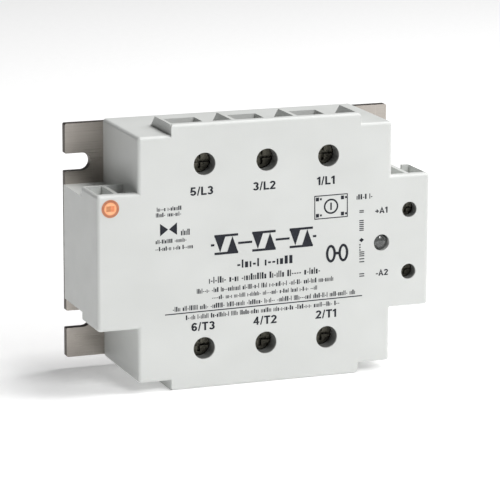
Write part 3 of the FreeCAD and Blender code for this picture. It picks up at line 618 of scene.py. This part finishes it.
def to_front(x, z, y=0.0):
    """Point of the print, in millimetres, onto the tilted print on the front face."""
    angle = math.radians(PRINT_TILT)
    across = x * math.cos(angle) - z * math.sin(angle)
    upward = x * math.sin(angle) + z * math.cos(angle)
    return (across * MM, FRONT_Y + y * MM, upward * MM)


def add_prism(vertices, faces, points):
    """Adds one flat polygon of the print, given a little thickness, to a mesh in the making."""
    base = len(vertices)
    count = len(points)
    vertices.extend(to_front(x, z, -PRINT_THICKNESS) for x, z in points)
    vertices.extend(to_front(x, z, PRINT_SINK) for x, z in points)
    faces.append([base + i for i in range(count)])
    faces.append([base + count + i for i in reversed(range(count))])
    for i in range(count):
        j = (i + 1) % count
        faces.append([base + j, base + i, base + count + i, base + count + j])


def add_band(vertices, faces, outer, inner):
    """Adds the closed band between two outlines, given a little thickness, to a mesh in the making."""
    base = len(vertices)
    count = len(outer)
    for y in (-PRINT_THICKNESS, PRINT_SINK):
        vertices.extend(to_front(x, z, y) for x, z in outer)
        vertices.extend(to_front(x, z, y) for x, z in inner)
    for i in range(count):
        j = (i + 1) % count
        rows = [base + k * count for k in range(4)]
        outer_front, inner_front, outer_back, inner_back = [(row + i, row + j) for row in rows]
        faces.append([outer_front[0], outer_front[1], inner_front[1], inner_front[0]])
        faces.append([outer_back[1], outer_back[0], inner_back[0], inner_back[1]])
        faces.append([outer_front[1], outer_front[0], outer_back[0], outer_back[1]])
        faces.append([inner_front[0], inner_front[1], inner_back[1], inner_back[0]])


def print_piece(name, shapes, ink):
    """Thin raised ink from flat polygons and bands."""
    vertices = []
    faces = []
    for shape in shapes:
        if isinstance(shape, tuple):
            add_band(vertices, faces, *shape)
        else:
            add_prism(vertices, faces, shape)
    mesh = bpy.data.meshes.new(name)
    mesh.from_pydata(vertices, [], faces)
    mesh.validate()
    mesh.materials.append(ink)
    piece = bpy.data.objects.new(name, mesh)
    bpy.context.scene.collection.objects.link(piece)
    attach(piece, BODY)


def ribbon(points, width):
    """One polygon along a line of points, with mitred corners and square ends."""
    line = [Vector(point) for point in points]
    left = []
    right = []
    for index, here in enumerate(line):
        into = (here - line[index - 1]).normalized() if index > 0 else None
        out = (line[index + 1] - here).normalized() if index + 1 < len(line) else into
        into = into or out
        along = (into + out).normalized()
        side = Vector((-along.y, along.x))
        reach = width / 2 / max(side.dot(Vector((-into.y, into.x))), 0.5)
        left.append(tuple(here + side * reach))
        right.append(tuple(here - side * reach))
    return right + left[::-1]


def bold_characters():
    """The plain bold characters of the terminal numbers, one unit high, as flat polygons."""
    w = 0.195
    low = w / 2
    high = 1.0 - w / 2
    five_top = [(0.52, high), (0.15, high), (0.10, 0.47)]
    return {
        "1": [[(0.16, 0), (0.36, 0), (0.36, 1), (0.21, 1), (0, 0.84), (0, 0.66), (0.16, 0.76)]],
        "2": [ribbon(arc(0.29, 0.70, 0.205, high - 0.70, 168, -35) + [(0.10, low), (0.58, low)], w)],
        "3": [
            ribbon(arc(0.28, 0.71, 0.19, high - 0.71, 158, -90), w),
            ribbon(arc(0.28, 0.29, 0.21, 0.29 - low, 90, -162), w),
        ],
        "4": [
            ribbon([(0.40, 0.93), (0.08, 0.31), (0.62, 0.31)], 0.16),
            rectangle(0.33, 0, 0.51, 0.23),
            rectangle(0.33, 0.39, 0.51, 1.0),
        ],
        "5": [ribbon(five_top + arc(0.28, 0.315, 0.215, 0.315 - low, 120, -160), w)],
        "6": [ribbon(arc(0.32, 0.50, 0.24, high - 0.50, 42, 190), w), ring(0.29, 0.31, 0.28, 0.31, w)],
        "/": [ribbon([(0.06, -0.02), (0.28, 1.02)], 0.13)],
        "L": [ribbon([(low, 1.0), (low, low), (0.56, low)], w)],
        "T": [rectangle(0, 1.0 - w, 0.64, 1.0), rectangle(0.22, 0, 0.42, 1.0 - w)],
        "A": [ribbon([(0.07, 0), (0.34, 0.90), (0.61, 0)], w), rectangle(0.19, 0.20, 0.49, 0.34)],
        "+": [
            rectangle(0, 0.30, 0.54, 0.46),
            rectangle(0.19, 0.11, 0.35, 0.30),
            rectangle(0.19, 0.46, 0.35, 0.65),
        ],
        "-": [rectangle(0, 0.25, 0.30, 0.42)],
    }


def text_piece(name, words, x, z, height, characters, ink):
    """A terminal number in plain bold type, centred on a point of the print."""
    rights = []
    for letter in words:
        outlines = [shape[0] if isinstance(shape, tuple) else shape for shape in characters[letter]]
        rights.append(max(point[0] for outline in outlines for point in outline))
    left = -(sum(rights) + CHARACTER_GAP * (len(words) - 1)) / 2

    def placed(outline):
        wide = height * CHARACTER_WIDENING
        return [(x + (left + across) * wide, z + (upward - 0.5) * height) for across, upward in outline]

    shapes = []
    for letter, right in zip(words, rights):
        for shape in characters[letter]:
            if isinstance(shape, tuple):
                shapes.append((placed(shape[0]), placed(shape[1])))
            else:
                shapes.append(placed(shape))
        left += right + CHARACTER_GAP
    print_piece(name, shapes, ink)


def thyristor_pair(cx, cz, size, weight):
    """Two triangles pointing opposite ways between two bars: the sign of an AC switch."""
    half = size / 2
    reach = half * TRIANGLE_HALF_HEIGHT
    spread = half * TRIANGLE_HALF_WIDTH
    shapes = []
    for side in (-1, 1):
        x = cx + side * half * TRIANGLE_OFFSET
        foot = cz - side * reach
        tip = cz + side * reach
        shapes.append([(x - spread, foot), (x + spread, foot), (x, tip)][::side])
    shapes.append(rectangle(cx - half, cz + reach, cx + half, cz + reach + weight))
    shapes.append(rectangle(cx - half, cz - reach - weight, cx + half, cz - reach))
    return shapes


def small_print(name, lines, ink):
    """Lines of small print as one piece."""
    shapes = []
    for line in lines:
        shapes.extend(greeked_line(*line))
    print_piece(name, shapes, ink)


def printed_marks(ink):
    """All the printing on the front face. Only the terminal numbers are legible."""
    characters = bold_characters()
    for name, upward, numbers in (LINE_NUMBERS, LOAD_NUMBERS):
        for index, words in enumerate(numbers):
            x = NUMBER_PITCH * (1 - index) + NUMBER_SHIFT
            piece_name = "number_%s_%d" % (name, index + 1)
            text_piece(piece_name, words, x, upward, NUMBER_HEIGHT, characters, ink)
    for index, (words, x, z) in enumerate(CONTROL_NUMBERS):
        piece_name = "number_control_%d" % (index + 1)
        text_piece(piece_name, words, x, z, CONTROL_NUMBER_HEIGHT, characters, ink)

    switches = []
    for centre in SWITCH_CENTRES:
        switches.extend(thyristor_pair(centre, SWITCH_Z, SWITCH_SIZE, SWITCH_BAR))
    for x0, x1 in SWITCH_LINES:
        switches.append(rectangle(x0, SWITCH_LINE_LOW, x1, SWITCH_LINE_HIGH))
    print_piece("print_switch_sign", switches, ink)

    small_print("print_type_line", [TYPE_LINE], ink)
    small_print("print_rating_lines", RATING_LINES, ink)
    print_piece("print_rule", [rectangle(*RULE)], ink)
    small_print("print_side_lines", SIDE_LINES, ink)
    print_piece("print_triangles_sign", FACING_TRIANGLES, ink)

    box = [border(*BOX_CORNERS, BOX_LINE)]
    for x in BOX_MARK_COLUMNS:
        for z in BOX_MARK_ROWS:
            box.append(rectangle(x - 0.85, z - 0.55, x + 0.15, z + 0.55))
            box.append(rectangle(x + 0.45, z - 0.3, x + 1.05, z + 0.3))
    box.append(ring(*BOX_RING))
    box.append(rectangle(*BOX_BAR))
    print_piece("print_boxed_sign", box, ink)

    rings = [ring(x, OVAL_Z, OVAL_HALF_WIDTH, OVAL_HALF_HEIGHT, OVAL_LINE) for x in OVAL_CENTRES]
    rings.append(rectangle(*OVAL_LINK))
    print_piece("print_ring_sign", rings, ink)

    small_print("print_corner_line", [CORNER_LINE], ink)
    column = [rectangle(COLUMN_LEFT, z0, COLUMN_UPPER_RIGHT, z1) for z0, z1 in COLUMN_UPPER_BARS]
    column.append(COLUMN_LOZENGE)
    for z in COLUMN_DOTS:
        column.append(rectangle(COLUMN_LEFT, z - COLUMN_DOT_HALF, COLUMN_DOT_RIGHT, z + COLUMN_DOT_HALF))
    for z0, z1 in COLUMN_LOWER_BARS:
        column.append(rectangle(COLUMN_LEFT, z0, COLUMN_LOWER_RIGHT, z1))
    print_piece("print_column", column, ink)


# ---------------------------------------------------------------- indicator insides

def lathe(name, centre, profile):
    """Turned piece about an axis along Y: the profile is (radius, depth) in millimetres."""
    vertices = []
    faces = []
    count = len(profile)
    for step in range(LATHE_STEPS):
        angle = 2 * math.pi * step / LATHE_STEPS
        for radius, depth in profile:
            x = centre[0] + radius * MM * math.cos(angle)
            z = centre[1] + radius * MM * math.sin(angle)
            vertices.append((x, FRONT_Y + depth * MM, z))
    for step in range(LATHE_STEPS):
        after = (step + 1) % LATHE_STEPS
        for i in range(count):
            j = (i + 1) % count
            faces.append([step * count + i, step * count + j, after * count + j, after * count + i])
    mesh = bpy.data.meshes.new(name)
    mesh.from_pydata(vertices, [], faces)
    mesh.validate()
    for polygon in mesh.polygons:
        polygon.use_smooth = True
    piece = bpy.data.objects.new(name, mesh)
    bpy.context.scene.collection.objects.link(piece)
    return piece


def indicator_insides(materials):
    """Reflector cup and its stem inside the clear lens."""
    low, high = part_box("status_led")
    centre = ((low.x + high.x) / 2, (low.z + high.z) / 2)
    cup = lathe("indicator_cup", centre, CUP_PROFILE)
    cup.data.materials.append(materials["solder_tin"])
    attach(cup, BODY)


# ---------------------------------------------------------------- studio

def area_light(name, place, size, power):
    """Square lamp that points at the origin."""
    data = bpy.data.lights.new(name, "AREA")
    data.shape = "SQUARE"
    data.size = size
    data.energy = power
    light = bpy.data.objects.new(name, data)
    light.location = place
    light.rotation_euler = (-Vector(place)).to_track_quat("-Z", "Y").to_euler()
    bpy.context.scene.collection.objects.link(light)


def studio():
    """Pale floor, dim white surroundings and three soft lights."""
    bpy.ops.mesh.primitive_plane_add(size=FLOOR_SIZE, location=(0, 0, cad_box[0].z))
    floor = bpy.context.object
    floor.name = "studio_floor"
    floor.data.materials.append(studio_floor())
    world = bpy.data.worlds.new("studio_world")
    world.use_nodes = True
    background = world.node_tree.nodes["Background"]
    background.inputs["Color"].default_value = (1.0, 1.0, 1.0, 1.0)
    background.inputs["Strength"].default_value = WORLD_STRENGTH
    bpy.context.scene.world = world
    for lamp in LAMPS:
        area_light(*lamp)


def camera():
    """Long lens at the photographed angle."""
    data = bpy.data.cameras.new("camera")
    data.lens = CAMERA_LENS
    data.sensor_width = SENSOR_WIDTH
    data.clip_start = 0.01
    data.clip_end = 20.0
    view = bpy.data.objects.new("camera", data)
    azimuth = math.radians(CAMERA_AZIMUTH)
    elevation = math.radians(CAMERA_ELEVATION)
    away = Vector((
        math.sin(azimuth) * math.cos(elevation),
        -math.cos(azimuth) * math.cos(elevation),
        math.sin(elevation),
    ))
    target = Vector(CAMERA_TARGET) * MM
    turn = (-away).to_track_quat("-Z", "Y").to_matrix()
    roll = Matrix.Rotation(math.radians(CAMERA_ROLL), 3, "Z")
    view.rotation_euler = (turn @ roll).to_euler()
    view.location = target + away * CAMERA_DISTANCE * MM
    bpy.context.scene.collection.objects.link(view)
    bpy.context.scene.camera = view


materials = slot_materials()
dress_cad_nodes(materials)
printed_marks(print_ink())
indicator_insides(materials)
studio()
camera()
bpy.context.scene.view_settings.view_transform = "Standard"
